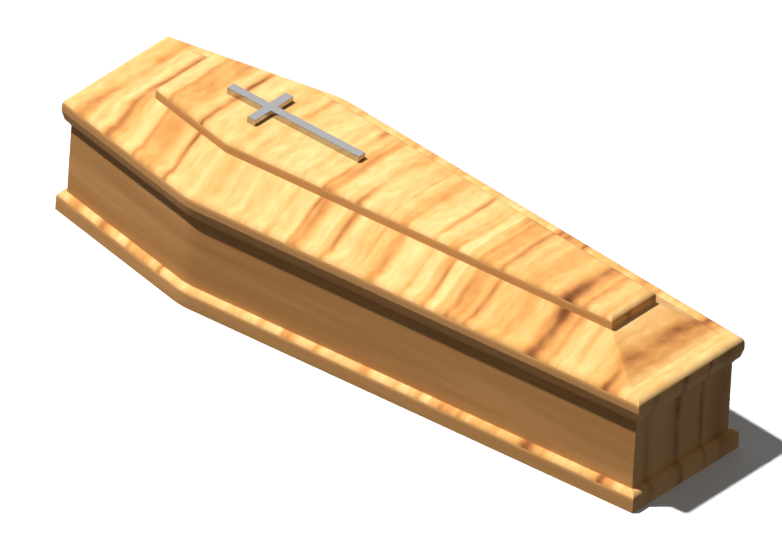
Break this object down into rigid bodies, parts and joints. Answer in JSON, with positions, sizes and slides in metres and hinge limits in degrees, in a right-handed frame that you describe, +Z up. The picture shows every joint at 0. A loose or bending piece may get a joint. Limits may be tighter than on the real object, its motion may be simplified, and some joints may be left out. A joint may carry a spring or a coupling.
{
  "type": "wooden coffin",
  "caption": "Six-sided wooden coffin with bent shoulders, plinth and cornice mouldings, a sloped lid with a raised panel, and a metal cross laid on top.",
  "frame": {"origin": "centre of the whole coffin's plan box, on the surface it stands on", "axes": "+X towards the foot end, +Y towards the side that is on the left of one who looks from the head end to the foot end, +Z up"},
  "size_m": [2.045, 0.655, 0.493],
  "materials": {
    "lid_wood": "varnished golden veneer, its figure laid across the lid",
    "moulding_wood": "varnished orange-tan solid wood, grain along each moulding",
    "wall_wood": "varnished boards, grain lengthwise on the sides and upright on the ends",
    "inner_wood": "plain planed wood inside",
    "cross_metal": "polished, silver-coloured"
  },
  "bodies": {
    "root": {"base_board": "inner_wood", "side_left": "wall_wood", "side_right": "wall_wood", "head_board": "wall_wood", "foot_board": "wall_wood", "plinth_left": "moulding_wood", "plinth_right": "moulding_wood", "plinth_head": "moulding_wood", "plinth_foot": "moulding_wood", "cornice_left": "moulding_wood", "cornice_right": "moulding_wood", "cornice_head": "moulding_wood", "cornice_foot": "moulding_wood", "lid_rail_left": "moulding_wood", "lid_rail_right": "moulding_wood", "lid_rail_head": "moulding_wood", "lid_rail_foot": "moulding_wood", "lid_slope_left": "lid_wood", "lid_slope_right": "lid_wood", "lid_slope_head": "lid_wood", "lid_slope_foot": "lid_wood", "lid_panel": "lid_wood", "cross": "cross_metal"}
  },
  "joints": []
}
